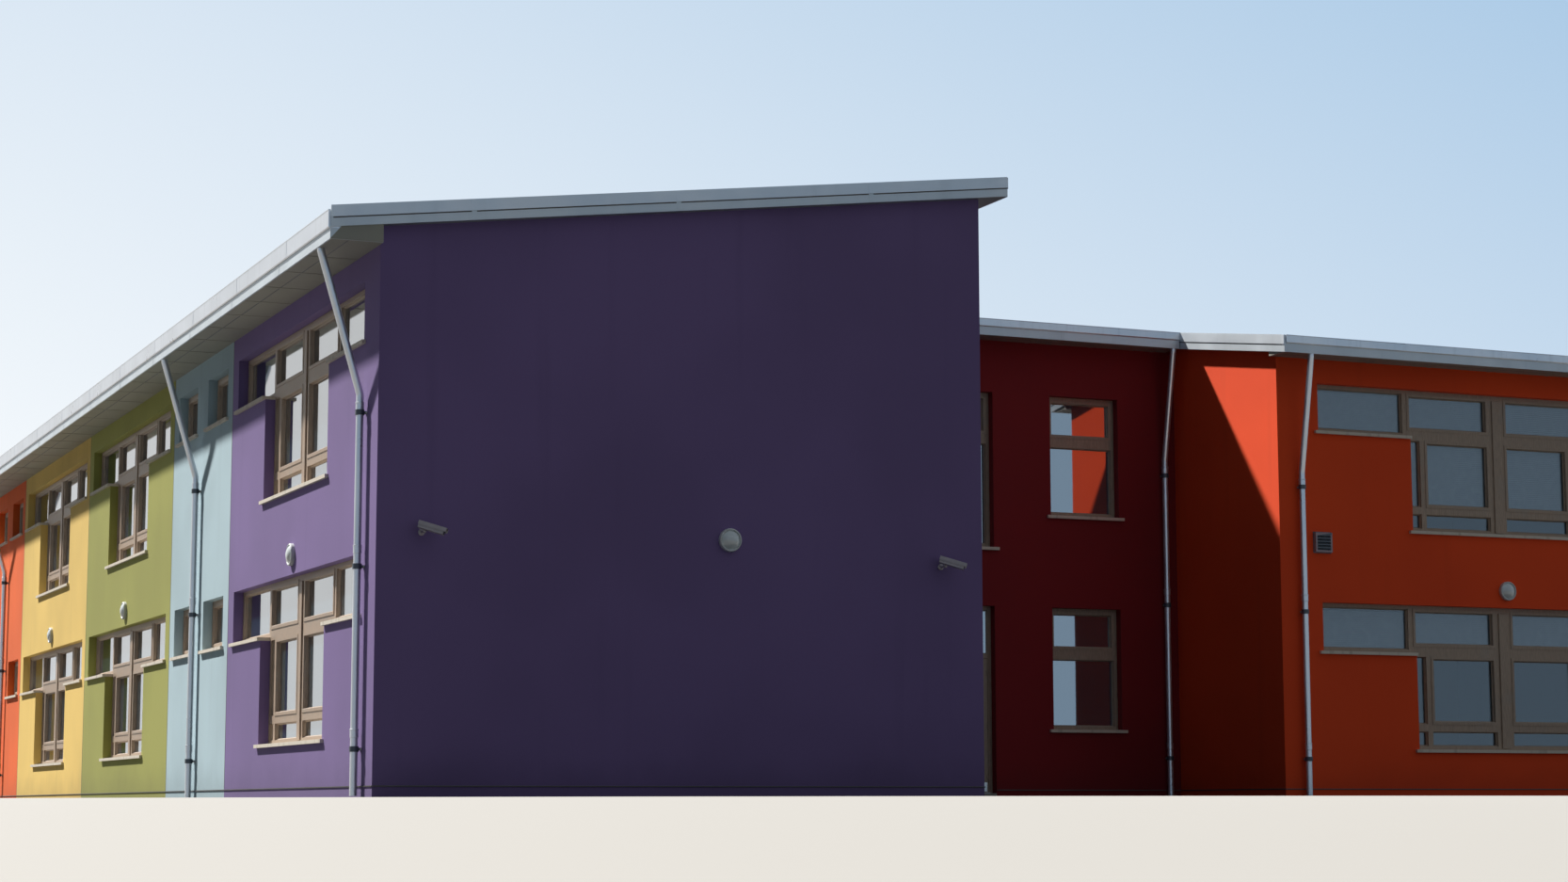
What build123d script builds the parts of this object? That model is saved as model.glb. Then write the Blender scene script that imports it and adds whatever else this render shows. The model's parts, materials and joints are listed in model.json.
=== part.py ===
from build123d import *
import math
import os

# School building: a long two-storey classroom block that runs away from its gable, with a shorter
# wing beside it. Drawn in millimetres with the block's gable corner at zero: X runs along the gable,
# Y along the block's length and Z up. The finished pieces are shifted so that the origin lies on the
# ground under the middle of the whole building.

# Storeys and walls
storey = 3600.0
wall = 350.0
ground_floor = 100.0
slab = 300.0

# Classroom block
block_width = 8730.0
end_margin = 370.0
classroom_pier = 370.0
narrow_bay = 4450.0

# Wing
wing_front = 3490.0
return_depth = 3180.0
recess_length = 7250.0
wing_pier = 790.0
wing_depth = 7260.0

# Roofs
roof_depth = 280.0
block_slope = 0.125
block_top = 7650.0
wing_slope = 0.163
wing_top = 7515.0
eave_overhang = 560.0
wing_eave_overhang = 350.0
high_overhang = 380.0
verge_overhang = 130.0
soffit_level = 7150.0
soffit_thickness = 20.0
board_thickness = 25.0
board_joint = 3.0
flashing_share = 0.55
flashing_lap = 12.0
roof_joint = 20.0

# Gutters, each on the board that closes the eave's soffit
gutter_width = 120.0
gutter_skin = 5.0
eave_board = 140.0
block_gutter_drop = 70.0
wing_gutter_drop = 25.0

# T-shaped classroom windows, heights measured from the storey's own level
tee_half = 3680.0
stem_half = 1860.0
low_sill = 750.0
wing_sill = 2330.0
head = 3170.0

# Window joinery
reveal = 150.0
frame_depth = 60.0
member = 60.0
slim_mullion = 100.0
centre_post = 330.0
transom = 170.0
low_transom_at = 1100.0
low_transom = 120.0
sidelight = 230.0
glass_thickness = 12.0
glass_edge = 20.0
sill_thickness = 50.0
sill_nose = 50.0
sill_horn = 80.0

# Washroom windows in the narrow bays
wash_inner = 400.0
wash_width = 1450.0

# Upright windows of the recess and of the sides away from the street
upright_width = 1320.0
upright_sill = 1110.0
upright_head = 3200.0
upright_transom_at = 2340.0
recess_window_from_return = 1790.0
upright_offset = 2000.0
yard_front_shares = (0.33, 0.72)
rear_link_shares = (0.3, 0.75)

# Entrance in the recess and the window over it
entrance_from_return = 3540.0
entrance_width = 1500.0
entrance_head = 3200.0
door_frame_member = 70.0
door_frame_depth = 100.0
door_sidelight = 330.0
leaf_thickness = 50.0
leaf_gap = 5.0
leaf_top = 2330.0
stile = 110.0
bottom_rail = 250.0
stop_lap = 15.0
stair_window_sill = 530.0

# Door furniture
knuckle_radius = 10.0
knuckle_height = 45.0
pin_radius = 5.0
pin_height = 40.0
pin_clearance = 0.3
hinge_forward = 12.0
hinge_tab = 30.0
tab_inner = 4.0
tab_behind = 7.0
handle_height = 1050.0
handle_radius = 10.0
handle_reach = 55.0
handle_length = 130.0
rose_radius = 25.0
rose_thickness = 8.0

# Rainwater pipes
pipe_radius = 50.0
pipe_skin = 4.0
pipe_stand_off = 90.0
neck_drop = 1900.0
neck_lead = 40.0
bend_radius = 110.0
collar_radius = 62.0
collar_height = 70.0
block_pipe_first = 560.0
recess_pipe_from_return = 260.0
wing_pipe_from_return = 390.0
collar_shares = (0.12, 0.57, 0.955)
pipe_foot = 30.0

# Lamps, cameras and vent
lamp_height = 3450.0
lamp_radius = 160.0
lamp_depth = 95.0
lamp_rim = 35.0
lens_share = 0.86
gable_lamp_at = 4900.0
camera_insets = (600.0, 650.0)
camera_heights = (3400.0, 3190.0)
camera_length = 390.0
camera_size = 110.0
camera_forward = 110.0
camera_arm = 90.0
camera_arm_size = 36.0
camera_turn = 30.0
camera_tilt = 20.0
camera_plate = 90.0
camera_plate_height = 120.0
camera_plate_thickness = 12.0
vent_from_return = 810.0
vent_height = 4140.0
vent_size = 320.0
vent_depth = 60.0
vent_blades = 5
vent_rim = 32.0
vent_slot_share = 0.6
vent_slot_depth = 40.0

# Worked out from the above
classroom_bay = 2 * (tee_half + classroom_pier)
wing_width = 2 * (tee_half + wing_pier)
recess_front = wing_front + return_depth
return_at = block_width + recess_length
entrance_right = return_at - entrance_from_return
recess_window_at = return_at - recess_window_from_return
vent_at = return_at + vent_from_return
purple_end = end_margin + classroom_bay
blue_end = purple_end + narrow_bay
green_end = blue_end + classroom_bay
yellow_end = green_end + classroom_bay
block_length = yellow_end + narrow_bay
wing_right = return_at + wing_width
wing_back = wing_front + wing_depth
upper_floor = ground_floor + storey
glass_front = reveal + frame_depth
tee_centres = [end_margin + classroom_bay / 2, blue_end + classroom_bay / 2, green_end + classroom_bay / 2]
wash_centres = [purple_end + narrow_bay / 2, yellow_end + narrow_bay / 2]
wing_tee_centre = return_at + wing_width / 2
entrance_left = entrance_right - entrance_width
wing_eave = wing_front - wing_eave_overhang
recess_eave = recess_front - wing_eave_overhang
wing_edge = wing_back + high_overhang
return_verge = return_at - verge_overhang
notch_start = recess_eave - roof_joint
notch_end = wing_edge + board_thickness + flashing_lap + roof_joint
left_board = -eave_overhang - board_thickness
turn = math.radians(camera_turn)
camera_reach = (camera_length / 2 + camera_forward) * math.sin(turn) + camera_size / 2 * math.cos(turn)
front_edge = -camera_arm - camera_size / 2 - camera_reach
left_edge = left_board - gutter_width
wing_gutter_edge = wing_eave - board_thickness - gutter_width
middle = Location((-(left_edge + wing_right) / 2, -(front_edge + block_length) / 2, 0))

# Each wall face as a place: u runs along the wall, d into it and z up
gable_face = Location((0, 0, 0))
street_face = Location((0, 0, 0), (0, 0, -90))
yard_face = Location((block_width, 0, 0), (0, 0, 90))
recess_face = Location((0, recess_front, 0))
wing_face = Location((0, wing_front, 0))
rear_face = Location((0, wing_back, 0), (0, 0, 180))


def block_roof_top(x):
    return block_top + block_slope * x


def wing_roof_top(y):
    return wing_top + wing_slope * (y - wing_front)


def bar(u0, u1, d0, d1, z0, z1):
    """A box between two corners."""
    return Pos((u0 + u1) / 2, (d0 + d1) / 2, (z0 + z1) / 2) * Box(u1 - u0, d1 - d0, z1 - z0)


def across(points, y0, y1):
    """An outline in X and Z, drawn out from y0 to y1."""
    face = make_face(Polyline([(x, y0, z) for x, z in points], close=True))
    return extrude(face, amount=y1 - y0, dir=(0, 1, 0))


def along(points, x0, x1):
    """An outline in Y and Z, drawn out from x0 to x1."""
    face = make_face(Polyline([(x0, y, z) for y, z in points], close=True))
    return extrude(face, amount=x1 - x0, dir=(1, 0, 0))


def filled(rectangles, d0, d1):
    """One plate made of overlapping rectangles (u0, u1, z0, z1)."""
    plates = [bar(u0, u1, d0, d1, z0, z1) for u0, u1, z0, z1 in rectangles]
    return plates[0] + plates[1:] if len(plates) > 1 else plates[0]


def shrink(rectangle, edge):
    u0, u1, z0, z1 = rectangle
    return (u0 + edge, u1 - edge, z0 + edge, z1 - edge)


class Window:
    """A window: its hole in the wall, and the clear panes of its frame, on one wall face."""

    def __init__(self, hole, panes, sills):
        self.hole = hole
        self.panes = panes
        self.sills = sills

    def void(self):
        return filled(self.hole, -wall, 2 * wall)

    def daylight(self):
        """The part of the hole over its sills, where the frame stands."""
        return [(u0, u1, z0 + sill_thickness, z1) for u0, u1, z0, z1 in self.hole]

    def frame(self):
        holes = [bar(u0, u1, 0, wall, z0, z1) for u0, u1, z0, z1 in self.panes]
        return filled(self.daylight(), reveal, glass_front) - holes

    def glass(self):
        sheet = [shrink(rectangle, glass_edge) for rectangle in self.daylight()]
        return filled(sheet, glass_front, glass_front + glass_thickness)

    def sill_boards(self):
        boards = []
        for u0, u1, z, horn_low, horn_high in self.sills:
            board = bar(u0, u1, 0, glass_front, z, z + sill_thickness)
            nose = bar(u0 - horn_low, u1 + horn_high, -sill_nose, 0, z, z + sill_thickness)
            boards.append(board + nose)
        return boards


def tee_window(centre, level):
    """A wide clerestory band with a tall stem under its middle half."""
    wide = (centre - tee_half, centre + tee_half, level + wing_sill, level + head)
    stem = (centre - stem_half, centre + stem_half, level + low_sill, level + head)
    top = level + head - member
    band_foot = level + wing_sill + sill_thickness + member
    light_foot = level + wing_sill + transom
    low_foot = level + low_sill + sill_thickness + member
    panes = []
    for side in (-1, 1):
        spans = {
            "wing": (stem_half + slim_mullion / 2, tee_half - member, band_foot, top),
            "toplight": (centre_post / 2, stem_half - slim_mullion / 2, light_foot, top),
        }
        jamb = stem_half - member
        casement_edge = jamb - sidelight - slim_mullion
        rows = (
            (low_foot, level + low_transom_at),
            (level + low_transom_at + low_transom, level + wing_sill),
        )
        for z0, z1 in rows:
            spans["sidelight %d" % z0] = (jamb - sidelight, jamb, z0, z1)
            spans["casement %d" % z0] = (centre_post / 2, casement_edge, z0, z1)
        for near, far, z0, z1 in spans.values():
            u0, u1 = sorted((centre + side * near, centre + side * far))
            panes.append((u0, u1, z0, z1))
    sills = [
        (centre - tee_half, centre - stem_half, level + wing_sill, sill_horn, 0),
        (centre + stem_half, centre + tee_half, level + wing_sill, 0, sill_horn),
        (centre - stem_half, centre + stem_half, level + low_sill, sill_horn, sill_horn),
    ]
    return Window([wide, stem], panes, sills)


def wash_window(centre, level):
    """A low, wide window just under the storey's head height."""
    hole = (centre - wash_width / 2, centre + wash_width / 2, level + wing_sill, level + head)
    foot = level + wing_sill + sill_thickness + member
    pane = (hole[0] + member, hole[1] - member, foot, level + head - member)
    return Window([hole], [pane], [(hole[0], hole[1], hole[2], sill_horn, sill_horn)])


def upright_window(centre, level, width=upright_width, foot=upright_sill):
    """A tall window with a transom and one top light."""
    hole = (centre - width / 2, centre + width / 2, level + foot, level + upright_head)
    u0, u1 = hole[0] + member, hole[1] - member
    transom_foot = level + upright_transom_at
    panes = [
        (u0, u1, hole[2] + sill_thickness + member, transom_foot),
        (u0, u1, transom_foot + transom, hole[3] - member),
    ]
    return Window([hole], panes, [(hole[0], hole[1], hole[2], sill_horn, sill_horn)])


def street_windows(centres):
    return [tee_window(-y, level) for y in centres for level in (0, storey)]


def washroom_windows(centres):
    offset = wash_inner + wash_width / 2
    return [
        wash_window(-y + side * offset, level) for y in centres for side in (-1, 1) for level in (0, storey)
    ]


def upright_windows(centres):
    return [upright_window(u, level) for u in centres for level in (0, storey)]


stair_centre = (entrance_left + entrance_right) / 2
stair_window = upright_window(stair_centre, storey, entrance_width, stair_window_sill)
recess_windows = upright_windows([recess_window_at])
wing_windows = [tee_window(wing_tee_centre, level) for level in (0, storey)]
block_tees = street_windows(tee_centres)
block_washes = washroom_windows(wash_centres)
yard_front_windows = upright_windows([recess_front * share for share in yard_front_shares])
yard_rear_windows = upright_windows(
    [c + s * upright_offset for c in tee_centres[1:] for s in (-1, 1)] + [wash_centres[1]]
)
rear_windows = upright_windows(
    [-(wing_tee_centre + s * upright_offset) for s in (-1, 1)]
    + [-(block_width + (return_at - block_width) * share) for share in rear_link_shares]
)

parts = {}


def keep(name, *shapes):
    """Files pieces under a node's name, shifted to the building's own origin."""
    solids = []
    for shape in shapes:
        solids += [middle * solid for solid in shape.solids()]
    parts[name] = Compound(children=solids) if len(solids) > 1 else solids[0]


def pierced(body, face, windows):
    """A wall less the holes of its windows."""
    return body - [face * window.void() for window in windows]


def block_underside(x):
    return block_roof_top(x) - roof_depth


def wing_underside(y):
    return wing_roof_top(y) - roof_depth


def long_wall(x0, x1, y0, y1):
    """A wall of the block that runs along Y, cut to the roof's slope."""
    outline = [(x0, 0), (x1, 0), (x1, block_underside(x1)), (x0, block_underside(x0))]
    return across(outline, y0, y1)


def wing_wall(y0, y1, x0, x1, foot=0.0):
    """A wall of the wing, cut to the wing roof's slope."""
    outline = [(y0, foot), (y1, foot), (y1, wing_underside(y1)), (y0, wing_underside(y0))]
    return along(outline, x0, x1)


def block_walls():
    keep("gable_wall", long_wall(0, block_width, 0, wall))
    bays = {
        "purple": (wall, purple_end, block_tees[0:2]),
        "blue": (purple_end, blue_end, block_washes[0:4]),
        "green": (blue_end, green_end, block_tees[2:4]),
        "yellow": (green_end, yellow_end, block_tees[4:6]),
        "orange": (yellow_end, block_length - wall, block_washes[4:8]),
    }
    for colour, (y0, y1, windows) in bays.items():
        body = long_wall(0, wall, y0, y1)
        keep(colour + "_bay_wall", pierced(body, street_face, windows))
    inner = block_width - wall
    front = long_wall(inner, block_width, wall, recess_front)
    keep("yard_wall_front", pierced(front, yard_face, yard_front_windows))
    keep("yard_wall_inner", long_wall(inner, block_width, recess_front, wing_back))
    rear = long_wall(inner, block_width, wing_back, block_length - wall)
    keep("yard_wall_rear", pierced(rear, yard_face, yard_rear_windows))


def wing_walls():
    y0, y1 = recess_front, recess_front + wall
    keep("recess_wall_left", wing_wall(y0, y1, block_width, entrance_left))
    over = wing_wall(y0, y1, entrance_left, entrance_right, entrance_head)
    over -= recess_face * stair_window.void()
    keep("recess_wall_over_door", over)
    right = wing_wall(y0, y1, entrance_right, return_at)
    keep("recess_wall_right", pierced(right, recess_face, recess_windows))
    keep("return_wall", wing_wall(wing_front + wall, y1, return_at, return_at + wall))
    front = wing_wall(wing_front, wing_front + wall, return_at, wing_right)
    keep("wing_front_wall", pierced(front, wing_face, wing_windows))
    block_end = long_wall(0, block_width, block_length - wall, block_length)
    wing_end = wing_wall(wing_front + wall, wing_back - wall, wing_right - wall, wing_right)
    keep("party_walls", block_end, wing_end)
    back = wing_wall(wing_back - wall, wing_back, block_width, wing_right)
    keep("wing_back_wall", pierced(back, rear_face, rear_windows))


def floors():
    block_room = (wall, block_width - wall, wall, block_length - wall)
    main_room = (return_at + wall, wing_right - wall, wing_front + wall, wing_back - wall)
    link_room = (block_width, return_at + wall, recess_front + wall, wing_back - wall)
    for name, z0, z1 in (("ground", 0, ground_floor), ("first", upper_floor - slab, upper_floor)):
        wing_slab = bar(*main_room, z0, z1) + bar(*link_room, z0, z1)
        if name == "ground":
            wing_slab += recess_face * bar(entrance_left, entrance_right, 0, wall, z0, z1)
        keep(name + "_floors", bar(*block_room, z0, z1), wing_slab)


def roofs():
    x0, x1 = -eave_overhang, block_width + high_overhang
    outline = [(x, block_roof_top(x)) for x in (x0, x1)] + [(x, block_underside(x)) for x in (x1, x0)]
    deck = across(outline, -verge_overhang, block_length)
    keep("block_roof", deck - bar(block_width, x1 + wall, notch_start, notch_end, 0, 2 * block_top))
    outlines = [
        [(y, wing_roof_top(y)) for y in (y0, wing_edge)] + [(y, wing_underside(y)) for y in (wing_edge, y0)]
        for y0 in (wing_eave, recess_eave)
    ]
    main = along(outlines[0], return_verge, wing_right)
    link = along(outlines[1], block_width, return_verge)
    keep("wing_roof", main + link)


def sloping_boards(top_at, s0, s1):
    """Outlines of the flashing and of the fascia board under it, along a sloping edge."""
    split = roof_depth * flashing_share
    upper = [(s, top_at(s)) for s in (s0, s1)] + [(s, top_at(s) - split) for s in (s1, s0)]
    lower = [(s, top_at(s) - split) for s in (s0, s1)] + [(s, top_at(s) - roof_depth) for s in (s1, s0)]
    return upper, lower


def level_boards(top):
    """Heights of the flashing and of the fascia board under it, along a level edge."""
    split = top - roof_depth * flashing_share
    return (split, top), (top - roof_depth, split)


def roof_edges():
    """Flashings and boards along the verges and the high edges of both roofs."""
    flashing_out = board_thickness + flashing_lap
    high_edge = block_width + high_overhang
    upper, lower = sloping_boards(block_roof_top, left_edge, high_edge)
    flashings = [across(upper, -verge_overhang - flashing_out, -verge_overhang)]
    boards = [across(lower, -verge_overhang - board_thickness, -verge_overhang)]
    upper, lower = sloping_boards(wing_roof_top, wing_gutter_edge, recess_eave)
    flashings.append(along(upper, return_verge - flashing_out, return_verge))
    boards.append(along(lower, return_verge - board_thickness, return_verge))
    high, low = level_boards(block_roof_top(high_edge))
    for y0, y1 in ((-verge_overhang + board_joint, notch_start), (notch_end, block_length)):
        flashings.append(bar(high_edge, high_edge + flashing_out, y0, y1, *high))
        boards.append(bar(high_edge, high_edge + board_thickness, y0, y1, *low))
    high, low = level_boards(wing_roof_top(wing_edge))
    flashings.append(bar(block_width, wing_right, wing_edge, wing_edge + flashing_out, *high))
    boards.append(bar(block_width, wing_right, wing_edge, wing_edge + board_thickness, *low))
    keep("roof_flashings", *flashings)
    keep("verge_boards", *boards)


class Eave:
    """The low edge of a roof over one wall face, from u0 to u1 along it.

    A level soffit runs out under the gutter to a board that carries the gutter's outer edge, and a
    second board stands behind the gutter against the roof. top_at gives the roof's height at a depth
    d, and an end that overhangs a corner of the wall is boxed in from there to the verge."""

    def __init__(self, place, overhang, top_at, soffit, drop, u0, u1, corner=None):
        self.place = place
        self.edge = -overhang
        self.back = self.edge - board_thickness
        self.out = self.back - gutter_width
        self.top_at = top_at
        self.soffit = soffit
        self.foot = soffit - soffit_thickness
        self.floor = self.foot + eave_board
        self.rim = top_at(self.edge) - drop
        self.u0 = u0
        self.u1 = u1
        self.verge = None
        if corner is not None:
            self.corner = corner
            self.verge = min(u0, u1, key=lambda u: abs(u - corner))
            self.inward = 1 if self.verge == u0 else -1

    def underside(self, d):
        return self.top_at(d) - roof_depth

    def boards(self):
        outer = bar(self.u0, self.u1, self.out, self.out + board_thickness, self.foot, self.floor)
        top = self.top_at(self.edge) - flashing_lap
        backing = bar(self.u0, self.u1, self.back, self.edge, self.soffit, top)
        if self.verge is None:
            return [self.place * outer, self.place * backing]
        inner = self.verge + self.inward * board_thickness
        end = [
            (self.out, self.foot), (0, self.foot), (0, self.underside(0)),
            (self.edge, self.underside(self.edge)), (self.edge, self.floor), (self.out, self.floor),
        ]
        side = [
            (-board_thickness, self.soffit), (0, self.soffit),
            (0, self.underside(0)), (-board_thickness, self.underside(-board_thickness)),
        ]
        closed = along(end, *sorted((self.verge, inner))) + along(side, *sorted((inner, self.corner)))
        return [self.place * (outer + backing + closed)]

    def soffit_board(self):
        u0 = self.u0 + board_thickness * (self.verge == self.u0)
        u1 = self.u1 - board_thickness * (self.verge == self.u1)
        return self.place * bar(u0, u1, self.out + board_thickness, 0, self.foot, self.soffit)

    def gutter(self):
        """An open box gutter with closed ends."""
        skin = gutter_skin
        trough = bar(self.u0, self.u1, self.out, self.back, self.floor, self.rim)
        hollow = bar(self.u0 + skin, self.u1 - skin, self.out + skin, self.back - skin,
                     self.floor + skin, self.rim + skin)
        return self.place * (trough - hollow)


def wing_side_eave(place, front, u0, u1, corner=None):
    """An eave of the wing's roof over the wall face that stands at front."""
    return Eave(place, wing_eave_overhang, lambda d: wing_roof_top(front + d),
                wing_underside(front - wing_eave_overhang), wing_gutter_drop, u0, u1, corner)


block_edge = Eave(street_face, eave_overhang, block_roof_top, soffit_level, block_gutter_drop,
                  -block_length, verge_overhang, corner=0.0)
wing_side = wing_side_eave(wing_face, wing_front, return_verge, wing_right, corner=return_at)
recess_side = wing_side_eave(recess_face, recess_front, block_width,
                             return_verge - board_thickness - flashing_lap)


def eaves():
    edges = (block_edge, wing_side, recess_side)
    keep("eave_boards", *[board for edge in edges for board in edge.boards()])
    keep("soffits", *[edge.soffit_board() for edge in edges])
    keep("gutters", *[edge.gutter() for edge in edges])


def downpipe(eave):
    """A pipe at u = 0 from under an eave's gutter back to the wall and down to the ground."""
    out = eave.back - gutter_width / 2
    bend = eave.foot - neck_drop
    points = [
        (0, out, eave.foot),
        (0, out, eave.foot - neck_lead),
        (0, -pipe_stand_off, bend),
        (0, -pipe_stand_off, pipe_foot),
    ]
    path = FilletPolyline(*points, radius=bend_radius)
    ring = Circle(pipe_radius) - Circle(pipe_radius - pipe_skin)
    pipe = sweep(Plane(origin=points[0], z_dir=(0, 0, -1)) * ring, path=path)
    brackets = []
    for share in collar_shares:
        centre = Pos(0, -pipe_stand_off, bend * share)
        collar = Cylinder(collar_radius, collar_height) - Cylinder(pipe_radius, 2 * collar_height)
        arm = bar(-collar_height / 4, collar_height / 4, pipe_radius, pipe_stand_off,
                  -collar_height / 4, collar_height / 4)
        brackets.append(centre * (collar + arm))
    return pipe, brackets


def downpipes():
    places = [(block_edge, -y) for y in (block_pipe_first, wash_centres[0], wash_centres[1])]
    places.append((recess_side, return_at - recess_pipe_from_return))
    places.append((wing_side, return_at + wing_pipe_from_return))
    pipes, brackets = [], []
    for eave, u in places:
        pipe, rings = downpipe(eave)
        at = eave.place * Pos(u, 0, 0)
        pipes.append(at * pipe)
        brackets += [at * ring for ring in rings]
    keep("downpipes", *pipes)
    keep("pipe_brackets", *brackets)


def joinery():
    groups = {
        "street": [(street_face, block_tees + block_washes)],
        "wing": [(wing_face, wing_windows), (recess_face, recess_windows + [stair_window])],
        "yard": [(yard_face, yard_front_windows + yard_rear_windows)],
        "rear": [(rear_face, rear_windows)],
    }
    sills = []
    for name, faces in groups.items():
        placed = [(face, window) for face, windows in faces for window in windows]
        keep(name + "_window_frames", *[face * window.frame() for face, window in placed])
        keep(name + "_window_glass", *[face * window.glass() for face, window in placed])
        for face, window in placed:
            sills += [face * board for board in window.sill_boards()]
    keep("window_sills", *sills)


def hinge_heights():
    low = ground_floor + bottom_rail
    high = leaf_top - bottom_rail
    return (low, (low + high) / 2, high)


def entrance():
    u0, u1 = entrance_left, entrance_right
    front, back = reveal, reveal + door_frame_depth
    light_edge = u0 + door_frame_member + door_sidelight
    leaf_u0 = light_edge + door_frame_member + leaf_gap
    leaf_u1 = u1 - door_frame_member - leaf_gap
    leaf_foot = ground_floor + 2 * leaf_gap
    leaf_front = front + leaf_gap
    leaf_back = leaf_front + leaf_thickness
    over_foot = leaf_top + leaf_gap + door_frame_member
    frame = bar(u0, u1, front, back, ground_floor, entrance_head)
    side_pane = (u0 + door_frame_member, light_edge, ground_floor + door_frame_member, leaf_top + leaf_gap)
    over_pane = (u0 + door_frame_member, u1 - door_frame_member, over_foot, entrance_head - door_frame_member)
    panes = [bar(a, b, 0, wall, c, d) for a, b, c, d in (side_pane, over_pane)]
    way = bar(leaf_u0 - leaf_gap, leaf_u1 + leaf_gap, 0, leaf_back + leaf_gap, 0, leaf_top + leaf_gap)
    through = bar(leaf_u0 + stop_lap, leaf_u1 - stop_lap, 0, wall, 0, leaf_top - stop_lap)
    frame = frame - panes - way - through

    # Hinges: a knuckle and pin on the frame, and a bored knuckle on the leaf above it
    axis_u = leaf_u1 + leaf_gap / 2
    axis_d = front - hinge_forward
    leaf = bar(leaf_u0, leaf_u1, leaf_front, leaf_back, leaf_foot, leaf_top)
    pane = (leaf_u0 + stile, leaf_u1 - stile, leaf_foot + bottom_rail, leaf_top - stile)
    leaf -= bar(pane[0], pane[1], 0, wall, pane[2], pane[3])
    tab_front = axis_d + tab_behind
    fixed, moving = [], []
    for z in hinge_heights():
        base = Pos(axis_u, axis_d, z)
        knuckle = base * Cylinder(knuckle_radius, knuckle_height, align=(Align.CENTER, Align.CENTER, Align.MAX))
        pin = base * Cylinder(pin_radius, pin_height, align=(Align.CENTER, Align.CENTER, Align.MIN))
        tab = bar(axis_u + tab_inner, axis_u + hinge_tab, tab_front, front, z - knuckle_height, z)
        fixed += [knuckle, pin, tab]
        lift = Pos(axis_u, axis_d, z + pin_clearance)
        sleeve = lift * Cylinder(knuckle_radius, knuckle_height, align=(Align.CENTER, Align.CENTER, Align.MIN))
        bore = base * Cylinder(pin_radius + pin_clearance, 3 * knuckle_height)
        plate = bar(axis_u - hinge_tab, axis_u - tab_inner, tab_front, leaf_front,
                    z + pin_clearance, z + pin_clearance + knuckle_height)
        moving.append((sleeve + plate) - bore)
    keep("door_frame", recess_face * (frame + fixed))
    keep("door_leaf", recess_face * (leaf + moving))
    middle_d = (leaf_front + leaf_back) / 2
    half = glass_thickness / 2
    keep("door_glass", recess_face * bar(*pane[:2], middle_d - half, middle_d + half, *pane[2:]))
    lights = [bar(a, b, middle_d - half, middle_d + half, c, d) for a, b, c, d in (side_pane, over_pane)]
    windows = [recess_face * light for light in lights]
    keep("entrance_lights", *windows)

    # Lever handles on both faces, on the stile away from the hinges
    handles = []
    grip_u = leaf_u0 + stile / 2
    for side, d in ((-1, leaf_front), (1, leaf_back)):
        neck = Pos(grip_u, d + side * handle_reach / 2, handle_height) * Rot(90, 0, 0) * Cylinder(
            handle_radius, handle_reach)
        lever = Pos(grip_u - handle_radius, d + side * handle_reach, handle_height) * Rot(0, 90, 0) * Cylinder(
            handle_radius, handle_length, align=(Align.CENTER, Align.CENTER, Align.MIN))
        rose = Pos(grip_u, d + side * rose_thickness / 2, handle_height) * Rot(90, 0, 0) * Cylinder(
            rose_radius, rose_thickness)
        handles.append(neck + lever + rose)
    keep("door_handles", *[recess_face * handle for handle in handles])


def lamps():
    places = [gable_face * Pos(gable_lamp_at, 0, lamp_height)]
    places += [street_face * Pos(-y, 0, lamp_height) for y in tee_centres]
    places.append(wing_face * Pos(wing_tee_centre, 0, lamp_height))
    body = Rot(90, 0, 0) * Cylinder(lamp_radius, lamp_rim, align=(Align.CENTER, Align.CENTER, Align.MIN))
    dome_radius = lamp_radius * lens_share
    rise = lamp_depth - lamp_rim
    sphere_radius = (dome_radius ** 2 + rise ** 2) / (2 * rise)
    ball = Pos(0, -lamp_rim + sphere_radius - rise, 0) * Sphere(sphere_radius)
    half = bar(-lamp_radius, lamp_radius, -2 * lamp_depth, -lamp_rim, -lamp_radius, lamp_radius)
    lens = ball & half
    keep("lamp_bases", *[place * body for place in places])
    keep("lamp_lenses", *[place * lens for place in places])


def cameras():
    """Boxed cameras, each on a plate and an arm under its rear part."""
    pieces = []
    half_plate, half_tall = camera_plate / 2, camera_plate_height / 2
    half_arm = camera_arm_size / 2
    out = -camera_arm - camera_size / 2
    for u, z in zip((camera_insets[0], block_width - camera_insets[1]), camera_heights):
        plate = bar(u - half_plate, u + half_plate, -camera_plate_thickness, 0, z - half_tall, z + half_tall)
        arm = bar(u - half_arm, u + half_arm, out, -camera_plate_thickness, z - half_arm, z + half_arm)
        place = Location((u, out, z + half_arm + camera_size / 2), (0, camera_tilt, -camera_turn))
        body = place * Pos(camera_forward, 0, 0) * Box(camera_length, camera_size, camera_size)
        pieces.append(plate + arm + body)
    keep("security_cameras", *[gable_face * piece for piece in pieces])


def vent():
    """A square louvred outlet box on the wing front."""
    half = vent_size / 2
    box = bar(-half, half, -vent_depth, 0, -half, half)
    inner = half - vent_rim
    pitch = 2 * inner / vent_blades
    for number in range(vent_blades):
        z = -inner + pitch * number
        box -= bar(-inner, inner, -vent_depth, vent_slot_depth - vent_depth, z, z + pitch * vent_slot_share)
    keep("wall_vent", wing_face * Pos(vent_at, 0, vent_height) * box)


block_walls()
wing_walls()
floors()
roofs()
roof_edges()
eaves()
downpipes()
joinery()
entrance()
lamps()
cameras()
vent()

os.makedirs("parts", exist_ok=True)
for name, shape in parts.items():
    export_step(shape, "parts/%s.step" % name)
print(len(parts), "pieces written")
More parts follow.
